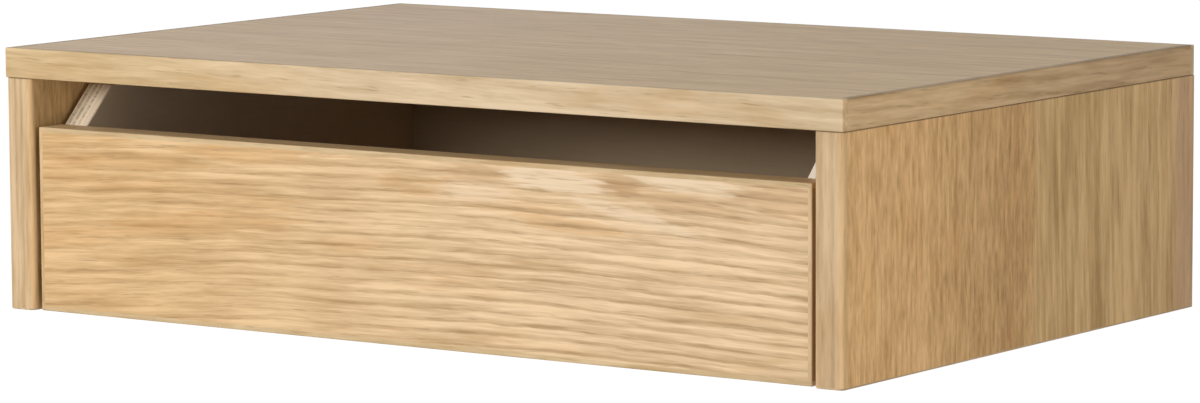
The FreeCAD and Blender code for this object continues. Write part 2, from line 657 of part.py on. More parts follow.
def make_drawer_fasteners():
    """The dowels in the drawer's corners and the screws under its bottom."""
    dowels = []
    for side in SIDES.values():
        for z in DRAWER_DOWEL_ZS:
            front = (on_side(side, DRAWER_MIDDLE), f"{FRONT_BACK} - dims.dowel_in_face", z)
            dowels.append(rod("dims.dowel_diameter", "dims.dowel_length", front, "+Y"))
            back = (on_side(side, f"{DRAWER_INNER} - {DOWEL_IN_EDGE}"), DRAWER_BACK_MIDDLE, z)
            dowels.append(rod("dims.dowel_diameter", "dims.dowel_length", back, facing(side)))
    group("drawer_dowels", dowels)
    screws = [screw((x, DRAWER_BACK_MIDDLE, BOTTOM_LOW), "+Z", "dims.bottom_screw_diameter",
                    "dims.bottom_screw_length", "dims.bottom_screw_head", "dims.bottom_screw_head_height")
              for x in BOTTOM_SCREW_XS]
    group("drawer_bottom_screws", screws)


def runner_section(side, points):
    """Points of a runner's section, from the case side and from its middle, as X and Z."""
    return [(on_side(side, f"{INNER} - ({out})"), f"{RAIL_MIDDLE} + ({up})") for out, up in points]


def mirrored(points):
    """A section's upper half, followed by its mirror image below."""
    return points + [(out, f"-({up})") for out, up in reversed(points)]


def make_cabinet_rail(name, side):
    """The channel on the case side, with lips round the balls and a stop tab at its front."""
    rail = new_body(f"{name}_cabinet_rail")
    inside = f"({RAIL_HALF} - dims.rail_sheet)"
    lip_outer = f"({BALL_ACROSS} + {RACE_OUTER})"
    lip_inner = f"({BALL_ACROSS} + {RACE_INNER})"
    lip_end = f"({BALL_UP} + {LIP_ROOM})"
    upper = [("dims.rail_sheet", inside), (lip_inner, inside), (lip_inner, lip_end), (lip_outer, lip_end),
             (lip_outer, RAIL_HALF), ("0", RAIL_HALF)]
    section = runner_section(side, mirrored(upper))
    pad(rail, "Y", (RAIL_FRONT, CABINET_RAIL_REAR), lambda sketch: draw_outline(sketch, section))
    tab_wide = across(side, f"{INNER} - {CAGE_FAR}", f"{INNER} - dims.rail_sheet")
    tab_high = (f"{RAIL_MIDDLE} - dims.stop_tab_height / 2", f"{RAIL_MIDDLE} + dims.stop_tab_height / 2")
    pad(rail, "Y", (RAIL_FRONT, f"{RAIL_FRONT} + dims.stop_tab"),
        lambda sketch: draw_rectangle(sketch, tab_wide, tab_high))
    hole = "dims.case_screw_diameter + 2 * dims.bore_clearance"
    bore(rail, "X", on_side(side, INNER), -side, "dims.rail_sheet", hole,
         [(y, RAIL_MIDDLE) for y in RAIL_SCREW_YS])

    buffer_wide = across(side, f"{INNER} - {BALL_ACROSS}", f"{INNER} - dims.rail_sheet")
    buffer_high = (f"{RAIL_MIDDLE} - {CHANNEL}", f"{RAIL_MIDDLE} + {CHANNEL}")
    board(f"{name}_rail_buffer", buffer_wide, (BUFFER_FRONT, CABINET_RAIL_REAR), buffer_high)


def make_drawer_rail(name, side):
    """The channel in the drawer side's groove, with lips round the balls and a stop tab at its rear."""
    rail = new_body(f"{name}_drawer_rail")
    lip_outer = f"({BALL_ACROSS} - {RACE_OUTER})"
    lip_inner = f"({BALL_ACROSS} - {RACE_INNER})"
    lip_end = f"({BALL_UP} - {LIP_ROOM})"
    upper = [(DRAWER_WEB, CHANNEL), (lip_outer, CHANNEL), (lip_outer, lip_end), (lip_inner, lip_end),
             (lip_inner, FLANGE_OUTER), (RUNNER_DEPTH, FLANGE_OUTER)]
    section = runner_section(side, mirrored(upper))
    pad(rail, "Y", (RAIL_FRONT, RAIL_REAR), lambda sketch: draw_outline(sketch, section))
    tab_wide = across(side, f"{INNER} - {DRAWER_WEB}", f"{INNER} - {CAGE_NEAR}")
    tab_high = (f"{RAIL_MIDDLE} - {CHANNEL}", f"{RAIL_MIDDLE} + {CHANNEL}")
    pad(rail, "Y", (f"{RAIL_REAR} - dims.stop_tab", RAIL_REAR),
        lambda sketch: draw_rectangle(sketch, tab_wide, tab_high))
    hole = "dims.drawer_screw_diameter + 2 * dims.bore_clearance"
    bore(rail, "X", on_side(side, f"{INNER} - {RUNNER_DEPTH}"), side, "dims.rail_sheet", hole,
         [(y, RAIL_MIDDLE) for y in RAIL_SCREW_YS])


def make_ball_cage(name, side):
    """The cage that spaces the balls of one runner, and its two rows of balls."""
    cage = new_body(f"{name}_ball_cage")
    arm_end = f"({BALL_ACROSS} + {RACE_INNER} + dims.cage_rim)"
    arm_top = f"({BALL_UP} + dims.cage_sheet / 2)"
    arm_foot = f"({BALL_UP} - dims.cage_sheet / 2)"
    upper = [(CAGE_FAR, arm_foot), (arm_end, arm_foot), (arm_end, arm_top), (CAGE_NEAR, arm_top)]
    section = runner_section(side, mirrored(upper))
    pad(cage, "Y", (CAGE_FRONT, CAGE_REAR), lambda sketch: draw_outline(sketch, section))
    ball_x = on_side(side, f"{INNER} - {BALL_ACROSS}")
    ball_ys = [f"{CAGE_FRONT} + dims.cage_length * {index + 0.5} / {BALLS_PER_ROW}"
               for index in range(BALLS_PER_ROW)]
    bore(cage, "Z", f"{RAIL_MIDDLE} + {arm_top}", -1, f"2 * {arm_top}", f"2 * {RACE_INNER}",
         [(ball_x, y) for y in ball_ys])

    balls = []
    for row in (-1, 1):
        for y in ball_ys:
            ball = doc.addObject("Part::Sphere", "Ball")
            ball.setExpression("Radius", "dims.ball_diameter / 2")
            place(ball, (ball_x, y, f"{RAIL_MIDDLE} + {row} * {BALL_UP}"), "+Z")
            balls.append(ball)
    group(f"{name}_balls", balls)


def make_rail_screws():
    """The screws that hold the rails to the case sides and to the drawer sides."""
    case_screws = []
    drawer_screws = []
    for side in SIDES.values():
        for y in RAIL_SCREW_YS:
            seat = (on_side(side, f"{INNER} - dims.rail_sheet"), y, RAIL_MIDDLE)
            case_screws.append(screw(seat, facing(side), "dims.case_screw_diameter",
                                     "dims.case_screw_length + dims.rail_sheet",
                                     "dims.case_screw_head", "dims.case_screw_head_height"))
            seat = (on_side(side, f"{INNER} - {DRAWER_WEB}"), y, RAIL_MIDDLE)
            drawer_screws.append(screw(seat, facing(-side), "dims.drawer_screw_diameter",
                                       f"{DRAWER_SCREW_LENGTH} + dims.rail_sheet",
                                       DRAWER_SCREW_HEAD, "dims.drawer_screw_head_height"))
    group("cabinet_rail_screws", case_screws)
    group("drawer_rail_screws", drawer_screws)


def check_document():
    """Stops if an object failed, a cut took nothing away, or a sub-part has no valid solid."""
    doc.recompute()
    for item in doc.Objects:
        if {"Invalid", "Error"} & set(item.State):
            raise RuntimeError(f"{item.Label}: {item.State}")
        if item.isDerivedFrom("PartDesign::Pocket"):
            if item.Shape.Volume > item.BaseFeature.Shape.Volume - TOLERANCE:
                raise RuntimeError(f"{item.Label}: the cut took nothing away")
    for node in nodes:
        if node.Shape.isNull() or not node.Shape.isValid() or not node.Shape.Solids:
            raise RuntimeError(f"{node.Label}: no valid solid")


def write_parts():
    """Writes each sub-part to its own file."""
    os.makedirs("parts", exist_ok=True)
    for node in nodes:
        node.Shape.exportStep(f"parts/{node.Label}.step")


make_top()
for side_name, side_sign in SIDES.items():
    make_side(side_name, side_sign)
make_back()
make_case_dowels()
make_cams()
make_drawer_front()
for side_name, side_sign in SIDES.items():
    make_drawer_side(side_name, side_sign)
make_drawer_back_and_bottom()
make_drawer_fasteners()
for side_name, side_sign in SIDES.items():
    make_cabinet_rail(side_name, side_sign)
    make_drawer_rail(side_name, side_sign)
    make_ball_cage(side_name, side_sign)
make_rail_screws()
check_document()
write_parts()
print(f"{len(nodes)} sub-parts, drawer travel {number(TRAVEL):.1f} mm")
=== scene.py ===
import math
from collections import namedtuple

import bpy
from mathutils import Matrix, Vector


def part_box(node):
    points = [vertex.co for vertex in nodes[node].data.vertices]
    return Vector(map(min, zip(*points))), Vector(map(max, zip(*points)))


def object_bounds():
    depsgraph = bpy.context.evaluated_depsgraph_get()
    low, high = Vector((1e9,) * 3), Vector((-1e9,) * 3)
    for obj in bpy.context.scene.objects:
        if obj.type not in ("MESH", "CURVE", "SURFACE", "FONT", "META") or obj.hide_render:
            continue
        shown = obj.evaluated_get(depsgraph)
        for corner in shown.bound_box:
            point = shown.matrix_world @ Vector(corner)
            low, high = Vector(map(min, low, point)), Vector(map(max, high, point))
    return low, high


# A wall-hung drawer in oak veneer on a white ground. Lengths are in metres, angles in degrees.

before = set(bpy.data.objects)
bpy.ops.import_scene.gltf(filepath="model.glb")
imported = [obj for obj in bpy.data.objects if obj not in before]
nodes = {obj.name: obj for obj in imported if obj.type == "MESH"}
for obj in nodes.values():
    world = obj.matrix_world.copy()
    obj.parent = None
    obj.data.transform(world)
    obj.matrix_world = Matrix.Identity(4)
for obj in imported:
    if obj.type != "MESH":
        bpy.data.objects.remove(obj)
cad_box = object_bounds()

# The camera, solved from the straight edges of the object. Its focal length is in photo pixels.
PHOTO_WIDTH = 1200
FOCAL_PIXELS = 5163.6
SENSOR_WIDTH_MM = 36.0
CAMERA_PLACE = (1.57435, -2.42551, 0.32018)
CAMERA_YAW = 34.959
CAMERA_PITCH = 6.754
CAMERA_ROLL = -0.269

# Light and ground. A softbox is given by where it stands as seen from the object, its distance, its
# size and its watts.
FLOOR_HEIGHT = -0.6
FLOOR_SIZE = 60.0
FLOOR_GREY = 0.6
FLOOR_LIFT = 0.9
FLOOR_ROUGHNESS = 0.9
WORLD_LIGHT = 0.22
WHITE = (1.0, 1.0, 1.0, 1.0)
SOFTBOXES = {
    "key": {"azimuth": -20, "elevation": 14, "distance": 2.2, "width": 1.2, "height": 0.5, "watts": 33.6},
    "fill": {"azimuth": 72, "elevation": 3, "distance": 1.35, "width": 0.6, "height": 0.6, "watts": 4.85},
}

AXES = "XYZ"

# Where a Mix node keeps its share, its two colours and its result.
MIX_SHARE = 0
MIX_FIRST = 6
MIX_SECOND = 7
MIX_RESULT = 2

# A kind of noise: its cells per metre along each axis (for wood along, across and through the grain),
# how many finer layers it has, and how strong each layer is against the one before.
Noise = namedtuple("Noise", "cells layers fading", defaults=(2.0, 0.5))
NOISE_MIDDLE = 0.5


class Look:
    """A material and its nodes. An input takes a number, a colour or another node's output."""

    def __init__(self, name, **settings):
        self.material = bpy.data.materials.new(name)
        self.material.use_nodes = True
        self.tree = self.material.node_tree
        self.shader = self.tree.nodes["Principled BSDF"]
        for socket, value in settings.items():
            self.shader.inputs[socket.replace("_", " ")].default_value = value

    def feed(self, socket, value):
        """Links an output to an input, or sets the input's own value."""
        if isinstance(value, bpy.types.NodeSocket):
            self.tree.links.new(value, socket)
        else:
            socket.default_value = value

    def node(self, kind, *values, **settings):
        """A new node, with its first inputs fed in order."""
        made = self.tree.nodes.new(kind)
        for name, value in settings.items():
            setattr(made, name, value)
        for socket, value in zip(made.inputs, values):
            self.feed(socket, value)
        return made

    def math(self, operation, *values, clamp=False):
        """A number worked out from one to three others."""
        return self.node("ShaderNodeMath", *values, operation=operation, use_clamp=clamp).outputs[0]

    def share(self, signal, middle=0.5):
        """A signal about zero, moved to lie about a middle and kept between zero and one."""
        return self.math("ADD", signal, middle, clamp=True)

    def total(self, *terms):
        """The sum of (weight, signal) terms."""
        result = 0.0
        for weight, signal in terms:
            result = self.math("MULTIPLY_ADD", signal, weight, result)
        return result

    def vector(self, operation, *values):
        """A vector worked out from others."""
        return self.node("ShaderNodeVectorMath", *values, operation=operation).outputs[0]

    def split(self, vector):
        """A vector's three numbers by axis letter."""
        return dict(zip(AXES, self.node("ShaderNodeSeparateXYZ", vector).outputs))

    def place(self):
        """Where a point is in the object's own frame."""
        return self.node("ShaderNodeTexCoord").outputs["Object"]

    def place_on(self, axis):
        """Where a point is along one axis of the object's own frame."""
        return self.split(self.place())[axis]

    def noise(self, vector, kind):
        """Noise of a given kind, about zero."""
        texture = self.node("ShaderNodeTexNoise", noise_dimensions="3D")
        self.feed(texture.inputs["Vector"], self.vector("MULTIPLY", vector, kind.cells))
        self.feed(texture.inputs["Scale"], 1.0)
        self.feed(texture.inputs["Detail"], kind.layers)
        self.feed(texture.inputs["Roughness"], kind.fading)
        return self.math("SUBTRACT", texture.outputs[0], NOISE_MIDDLE)

    def step(self, value, start, end):
        """Zero on the start's side, one on the end's side and smooth between."""
        made = self.node("ShaderNodeMapRange", interpolation_type="SMOOTHSTEP")
        for name, given in (("Value", value), ("From Min", start), ("From Max", end)):
            self.feed(made.inputs[name], given)
        return made.outputs[0]

    def ramp(self, value, stops):
        """A number read off a row of (place, value) stops."""
        made = self.node("ShaderNodeValToRGB", value)
        elements = made.color_ramp.elements
        while len(elements) < len(stops):
            elements.new(1.0)
        for element, (place, level) in zip(elements, stops):
            element.position = place
            element.color = (level, level, level, 1.0)
        return made.outputs[0]

    def mix(self, share, first, second, blend="MIX"):
        """A colour between two others, or between one and its blend with the other."""
        made = self.node("ShaderNodeMix", data_type="RGBA", blend_type=blend)
        self.feed(made.inputs[MIX_SHARE], share)
        self.feed(made.inputs[MIX_FIRST], first)
        self.feed(made.inputs[MIX_SECOND], second)
        return made.outputs[MIX_RESULT]

    def bump(self, height, distance):
        """Raises the surface by a height signal times a distance."""
        made = self.node("ShaderNodeBump")
        self.feed(made.inputs["Strength"], 1.0)
        self.feed(made.inputs["Distance"], distance)
        self.feed(made.inputs["Height"], height)
        self.feed(self.shader.inputs["Normal"], made.outputs[0])

    def finish(self, colour, roughness):
        """Feeds the shader's colour and roughness and returns the material."""
        self.feed(self.shader.inputs["Base Color"], colour)
        self.feed(self.shader.inputs["Roughness"], roughness)
        return self.material


def third_axis(along, across):
    """The axis through a board."""
    return (set(AXES) - {along, across}).pop()


def grain_parts(look, along, across):
    """The point's distances along, across and through a board's grain."""
    parts = look.split(look.place())
    return parts[along], parts[across], parts[third_axis(along, across)]


# How far the wood of one seed lies from the next, along, across and through the grain.
SEED_SHIFT = (0.37, 0.71, 1.13)


def grain_point(look, length, width, depth, seed):
    """A point of the grain, shifted so that each seed gives wood of its own."""
    point = look.node("ShaderNodeCombineXYZ", length, width, depth).outputs[0]
    return look.vector("ADD", point, tuple(shift * seed for shift in SEED_SHIFT))


# A leaf of oak: its pale and dark wood, and how strongly its rings, bands, streaks and flecks show.
Leaf = namedtuple("Leaf", "light dark rings bands streaks flecks")

# A leaf turns into another between two places on an axis. The grain jumps there if two leaves meet.
Change = namedtuple("Change", "axis start end leaf jump", defaults=(0.0,))

# A dark line along a plane: painted shade in a seam or gap, or a darker rim.
DarkLine = namedtuple("DarkLine", "axis place width strength")

# A patch of a flame: a tint (MULTIPLY) or plain wood over the grain (MIX), its colour and strength, its
# middle along and across the board, half its length and height, and how it falls along the grain.
Island = namedtuple("Island", "blend colour strength along across half_length half_height fall")

# How a ring darkens: a ragged line of open pores as growth starts, then dense pale wood.
RING_PROFILE = ((0.0, 0.6), (0.08, 0.08), (0.26, 0.2), (0.42, 0.62), (0.75, 0.9), (1.0, 0.75))
RING_MIDDLE = 0.58

# The marks of oak as noise.
SWAY = Noise((7, 12, 12))
FINE_SWAY = Noise((30, 60, 60))
RAGGED_RINGS = Noise((60, 300, 300), 3.0, 0.6)
RING_STRENGTH = Noise((6, 70, 70))
BANDS = Noise((5, 70, 70))
STREAKS = Noise((16, 230, 230), 3.0, 0.65)
BLOTCHES = Noise((8, 34, 34), 3.0, 0.6)
PORES = Noise((70, 1300, 1300), 1.0)
WARMTH = Noise((11, 62, 62), 3.0, 0.6)
SHORES = Noise((32, 300, 300), 3.0, 0.6)
FLECK_LAYERS = 2.0
FLECK_FADING = 0.6

# How strongly these marks show, and between which of their levels they set in.
FINE_SWAY_SHARE = 0.25
RAGGEDNESS = 0.002
RING_STRENGTH_SPREAD = 1.8
BLOTCH_SHARE = 0.5
MIDDLE_TONE = 0.6
PORE_LEVELS = (0.08, 0.22)
EARLY_WOOD_LEVELS = (0.75, 0.2)
LATE_WOOD_PORES = 0.3
PORE_STRENGTH = 0.4
WARMTH_LEVELS = (0.0, 0.26)
WARMTH_STRENGTH = 0.6
SHORE_RAGGEDNESS = 2.4
SHORE_LEVELS = (1.25, 0.7)
ISLAND_FLECKS = 1.2

# The lacquered surface of oak: what pores and flecks add to its roughness, and its relief.
OAK_IOR = 1.48
PORE_ROUGHNESS = 0.12
FLECK_ROUGHNESS = 0.1
PORE_RISE = -0.7
FLECK_RISE = 0.5
RING_RISE = 0.3
OAK_RELIEF = 0.00006

# Colours that all oak shares.
WARM_TINT = (0.88, 0.77, 0.62, 1.0)
PORE_OAK = (0.3, 0.18, 0.08, 1.0)
# The brown of the dark lines, which paint shade into seams and gaps and darken rims.
DARK_LINE_BROWN = (0.13, 0.08, 0.04, 1.0)


def blend(look, share, first, second):
    """Part of a leaf that passes into part of another: a colour, or else a strength."""
    if isinstance(second, tuple):
        return look.mix(share, first, second)
    made = look.node("ShaderNodeMapRange", share)
    look.feed(made.inputs["To Min"], first)
    look.feed(made.inputs["To Max"], second)
    return made.outputs[0]


def ring_distance(look, point, length, width, heart, wave):
    """How far a point lies from the heart of the tree, with the sway of its growth."""
    heart_across, heart_depth, dive = heart
    sway = look.total((wave, look.noise(point, SWAY)),
                      (wave * FINE_SWAY_SHARE, look.noise(point, FINE_SWAY)))
    beside = look.math("ADD", look.math("SUBTRACT", width, heart_across), sway)
    under = look.math("MULTIPLY_ADD", length, dive, heart_depth)
    squares = look.math("ADD", look.math("POWER", beside, 2.0), look.math("POWER", under, 2.0))
    return look.math("SQRT", squares)


def lay_islands(look, colour, islands, length, width, shore, flecks):
    """The wood's colour with the patches of a flame. Their edges follow the shore noise."""
    for island in islands:
        beside = look.math("SUBTRACT", length, island.along)
        above = look.math("MULTIPLY_ADD", beside, island.fall, look.math("SUBTRACT", width, island.across))
        beside_square = look.math("POWER", look.math("DIVIDE", beside, island.half_length), 2.0)
        above_square = look.math("POWER", look.math("DIVIDE", above, island.half_height), 2.0)
        away = look.math("SQRT", look.math("ADD", beside_square, above_square))
        inside = look.step(look.math("MULTIPLY_ADD", shore, SHORE_RAGGEDNESS, away), *SHORE_LEVELS)
        streaky = look.math("MULTIPLY_ADD", flecks, ISLAND_FLECKS, island.strength)
        shown = look.math("MULTIPLY", inside, streaky, clamp=True)
        colour = look.mix(shown, colour, island.colour, island.blend)
    return colour


def paint_dark_line(look, colour, joint):
    """The wood's colour with a dark line along a plane: painted shade in a seam or gap, or a darker rim.
    """
    away = look.math("ABSOLUTE", look.math("SUBTRACT", look.place_on(joint.axis), joint.place))
    shade = look.math("MULTIPLY", look.step(away, joint.width, 0.0), joint.strength)
    return look.mix(shade, colour, DARK_LINE_BROWN)


def oak(name, along, across, leaf, seed, ring=0.004, heart=(0.3, 0.05, 0.0), wave=0.006, fleck=(30, 600),
        islands=(), gloss=0.3, matt=0.46, changes=(), joint=None):
    """Lacquered oak. Ring is the distance from one ring to the next, and wave is how far the rings sway.
    The heart is the tree's middle: its place across the board, its depth under the face and how fast it
    dives along the grain. Fleck holds the cells of the fine flecks per metre along and across the grain.
    Gloss is the strength of the shine, and matt is how rough the lacquer is."""
    look = Look(name, IOR=OAK_IOR, Specular_IOR_Level=gloss)
    length, width, depth = grain_parts(look, along, across)
    for change in changes:
        past = look.step(look.place_on(change.axis), change.start, change.end)
        leaf = Leaf(*(blend(look, past, first, second) for first, second in zip(leaf, change.leaf)))
        width = look.math("MULTIPLY_ADD", past, change.jump, width)
    point = grain_point(look, length, width, depth, seed)
    distance = ring_distance(look, point, length, width, heart, wave)
    swayed = grain_point(look, length, distance, depth, seed)

    ragged = look.total((1.0, distance), (RAGGEDNESS, look.noise(point, RAGGED_RINGS)))
    rings = look.ramp(look.math("FRACT", look.math("DIVIDE", ragged, ring)), RING_PROFILE)
    ring_noise = look.noise(swayed, RING_STRENGTH)
    ring_strength = look.math("MULTIPLY_ADD", ring_noise, RING_STRENGTH_SPREAD, 1.0, clamp=True)
    fleck_along, fleck_across = fleck
    fleck_cells = (fleck_along, fleck_across, fleck_across)
    flecks = look.noise(swayed, Noise(fleck_cells, FLECK_LAYERS, FLECK_FADING))
    pores = look.step(look.noise(swayed, PORES), *PORE_LEVELS)
    early_wood = look.step(rings, *EARLY_WOOD_LEVELS)
    pore_share = look.math("MULTIPLY_ADD", early_wood, 1.0 - LATE_WOOD_PORES, LATE_WOOD_PORES)
    open_pores = look.math("MULTIPLY", pores, pore_share)

    ringed = look.math("MULTIPLY", look.math("SUBTRACT", rings, RING_MIDDLE), ring_strength)
    tone = look.total((leaf.bands, look.noise(swayed, BANDS)),
                      (BLOTCH_SHARE, look.noise(point, BLOTCHES)),
                      (leaf.rings, ringed),
                      (leaf.streaks, look.noise(swayed, STREAKS)),
                      (leaf.flecks, flecks))
    colour = look.mix(look.share(tone, MIDDLE_TONE), leaf.dark, leaf.light)
    if islands:
        shore = look.noise(swayed, SHORES)
        colour = lay_islands(look, colour, islands, length, width, shore, flecks)
    warmth = look.step(look.noise(swayed, WARMTH), *WARMTH_LEVELS)
    colour = look.mix(look.math("MULTIPLY", warmth, WARMTH_STRENGTH), colour, WARM_TINT, "MULTIPLY")
    colour = look.mix(look.math("MULTIPLY", open_pores, PORE_STRENGTH), colour, PORE_OAK)
    # A dark line: painted shade in a seam or gap, or a darker rim.
    if joint:
        colour = paint_dark_line(look, colour, joint)

    look.bump(look.total((PORE_RISE, open_pores), (FLECK_RISE, flecks), (RING_RISE, rings)), OAK_RELIEF)
    added_roughness = look.total((PORE_ROUGHNESS, open_pores), (FLECK_ROUGHNESS, flecks))
    return look.finish(colour, look.math("ADD", added_roughness, matt))


# Birch plywood. The plain ply is a share of the board's thickness at its near face. Each pair of woods
# is dark and pale.
PLIES = 9
PLY_OFFSET = -0.5
PLAIN_PLY = 0.26
PLAIN_PLY_FADE = 0.03
CROSS_PLY_LEVELS = (0.35, 0.65)
GLUE_LINE = 0.5
GLUE_LEVELS = (0.12, 0.03)
GLUE_STRENGTH = 0.25
EDGE_LEVELS = (0.97, 0.8)
BIRCH_IOR = 1.46
BIRCH_GLOSS = 0.3
BIRCH_ROUGHNESS = 0.52
FIBRE_ROUGHNESS = 0.15
BIRCH_RELIEF = 0.00004
CLOUDS = Noise((9, 34, 34), 3.0, 0.6)
FIBRES = Noise((40, 1100, 1100))
DOTS = Noise((700, 700, 700))
CLOUD_SHARE = 0.9
FIBRE_SHARE = 0.5
DOT_SHARE = 2.4
FIBRE_RISE = 0.5
DOT_RISE = 0.4
LONG_GRAIN = ((0.86, 0.74, 0.55, 1.0), (0.94, 0.84, 0.66, 1.0))
END_GRAIN = ((0.46, 0.36, 0.24, 1.0), (0.86, 0.75, 0.57, 1.0))
GLUE_BROWN = (0.3, 0.21, 0.13, 1.0)
PALE_BIRCH = ((0.68, 0.545, 0.385, 1.0), (0.82, 0.69, 0.52, 1.0))
BROWN_BIRCH = ((0.51, 0.37, 0.225, 1.0), (0.64, 0.495, 0.33, 1.0))
WHITE_BIRCH = ((0.88, 0.8, 0.67, 1.0), (0.97, 0.91, 0.8, 1.0))


def plywood(name, along, across, near, thickness, face_wood, plain_wood, seed):
    """Birch plywood. Its edges show the plies, long grain and end grain by turns, but for a plain one.
    Near is how far the nearer face lies from the frame's middle."""
    look = Look(name, IOR=BIRCH_IOR, Specular_IOR_Level=BIRCH_GLOSS)
    through = third_axis(along, across)
    point = grain_point(look, *grain_parts(look, along, across), seed)
    from_middle = look.math("ABSOLUTE", look.place_on(through))
    depth = look.math("DIVIDE", look.math("SUBTRACT", from_middle, near), thickness)
    layer = look.math("PINGPONG", look.math("MULTIPLY_ADD", depth, PLIES, PLY_OFFSET), 1.0)
    cross_ply = look.step(layer, *CROSS_PLY_LEVELS)
    from_glue = look.math("ABSOLUTE", look.math("SUBTRACT", layer, GLUE_LINE))
    glue = look.step(from_glue, *GLUE_LEVELS)
    plied = look.step(depth, PLAIN_PLY - PLAIN_PLY_FADE, PLAIN_PLY + PLAIN_PLY_FADE)
    normal = look.split(look.node("ShaderNodeTexCoord").outputs["Normal"])[through]
    edge = look.step(look.math("ABSOLUTE", normal), *EDGE_LEVELS)

    fibres = look.noise(point, FIBRES)
    dots = look.noise(point, DOTS)
    face_tone = look.total((CLOUD_SHARE, look.noise(point, CLOUDS)), (FIBRE_SHARE, fibres))
    face = look.mix(look.share(face_tone), *face_wood)
    long_grain = look.mix(look.share(fibres), *LONG_GRAIN)
    end_grain = look.mix(look.share(look.math("MULTIPLY", dots, DOT_SHARE)), *END_GRAIN)
    plain = look.mix(look.share(fibres), *plain_wood)
    layers = look.mix(plied, plain, long_grain)
    layers = look.mix(look.math("MULTIPLY", cross_ply, plied), layers, end_grain)
    shown_glue = look.math("MULTIPLY", look.math("MULTIPLY", glue, plied), GLUE_STRENGTH)
    layers = look.mix(shown_glue, layers, GLUE_BROWN)

    look.bump(look.total((FIBRE_RISE, fibres), (DOT_RISE, dots)), BIRCH_RELIEF)
    roughness = look.math("MULTIPLY_ADD", fibres, FIBRE_ROUGHNESS, BIRCH_ROUGHNESS)
    return look.finish(look.mix(edge, face, layers), roughness)


# Beech dowels.
BEECH_FLECKS = Noise((420, 420, 420))
BEECH_FLECK_LEVELS = (0.12, 0.24)
BEECH_FLECK_STRENGTH = 0.4
BEECH_CLOUDS = Noise((120, 120, 120), 3.0)
BEECH_WOOD = ((0.52, 0.33, 0.18, 1.0), (0.7, 0.5, 0.31, 1.0))
BEECH_FLECK_BROWN = (0.3, 0.16, 0.08, 1.0)
BEECH_ROUGHNESS = 0.55
BEECH_ROUGHNESS_SPREAD = 0.1
BEECH_RELIEF = 0.00003


def beech(name):
    """Pressed beech dowels, with the short dark flecks of that wood."""
    look = Look(name)
    point = look.place()
    flecks = look.step(look.noise(point, BEECH_FLECKS), *BEECH_FLECK_LEVELS)
    tone = look.share(look.noise(point, BEECH_CLOUDS))
    colour = look.mix(tone, *BEECH_WOOD)
    colour = look.mix(look.math("MULTIPLY", flecks, BEECH_FLECK_STRENGTH), colour, BEECH_FLECK_BROWN)
    look.bump(flecks, BEECH_RELIEF)
    return look.finish(colour, look.math("MULTIPLY_ADD", tone, BEECH_ROUGHNESS_SPREAD, BEECH_ROUGHNESS))


# A metal, plastic or rubber: its pale and dark tone, its roughness, and the cells of its fine lines or
# skin per metre along each axis.
Stuff = namedtuple("Stuff", "light dark roughness cells")
ZINC_CASTING = Stuff((0.62, 0.62, 0.63, 1.0), (0.42, 0.42, 0.44, 1.0), 0.42, (500, 500, 500))
PLATED_SCREW = Stuff((0.66, 0.66, 0.67, 1.0), (0.5, 0.5, 0.52, 1.0), 0.3, (700, 700, 700))
PLATED_RAIL = Stuff((0.7, 0.7, 0.71, 1.0), (0.54, 0.55, 0.57, 1.0), 0.28, (900, 27, 900))
POLISHED_BALL = Stuff((0.74, 0.74, 0.75, 1.0), (0.64, 0.64, 0.66, 1.0), 0.1, (300, 300, 300))
CAGE_PLASTIC = Stuff((0.74, 0.73, 0.69, 1.0), (0.6, 0.59, 0.55, 1.0), 0.42, (700, 700, 700))
BUFFER_RUBBER = Stuff((0.045, 0.045, 0.047, 1.0), (0.02, 0.02, 0.021, 1.0), 0.7, (900, 900, 900))

# The layers of those lines and skins, and how strong each is against the one before.
FINE_LAYERS = 3.0
FINE_FADING = 0.6

METAL_STAINS = Noise((35, 35, 35), 3.0)
METAL_LINE_SHARE = 0.6
METAL_STAIN_SHARE = 0.9
METAL_LINE_ROUGHNESS = 0.16
METAL_STAIN_ROUGHNESS = 0.2
METAL_RELIEF = 0.00002

MOULDED_CLOUDS = Noise((60, 60, 60))
MOULDED_SKIN_SHARE = 0.5
MOULDED_CLOUD_SHARE = 0.8
MOULDED_SKIN_ROUGHNESS = 0.2
MOULDED_RELIEF = 0.00003


def metal(name, stuff):
    """Bare or plated metal with fine lines and faint stains."""
    look = Look(name, Metallic=1.0)
    point = look.place()
    lines = look.noise(point, Noise(stuff.cells, FINE_LAYERS, FINE_FADING))
    stains = look.noise(point, METAL_STAINS)
    tone = look.share(look.total((METAL_LINE_SHARE, lines), (METAL_STAIN_SHARE, stains)))
    added_roughness = look.total((METAL_LINE_ROUGHNESS, lines), (METAL_STAIN_ROUGHNESS, stains))
    roughness = look.share(added_roughness, stuff.roughness)
    look.bump(lines, METAL_RELIEF)
    return look.finish(look.mix(tone, stuff.dark, stuff.light), roughness)


def moulded(name, stuff):
    """Moulded plastic or rubber with a fine matt skin and faint clouds."""
    look = Look(name)
    point = look.place()
    skin = look.noise(point, Noise(stuff.cells, FINE_LAYERS, FINE_FADING))
    clouds = look.noise(point, MOULDED_CLOUDS)
    tone = look.share(look.total((MOULDED_SKIN_SHARE, skin), (MOULDED_CLOUD_SHARE, clouds)))
    roughness = look.math("MULTIPLY_ADD", skin, MOULDED_SKIN_ROUGHNESS, stuff.roughness)
    look.bump(skin, MOULDED_RELIEF)
    return look.finish(look.mix(tone, stuff.dark, stuff.light), roughness)


def dress(material, *names):
    """Gives CAD nodes a material."""
    for name in names:
        mesh = nodes[name].data
        mesh.materials.clear()
        mesh.materials.append(material)


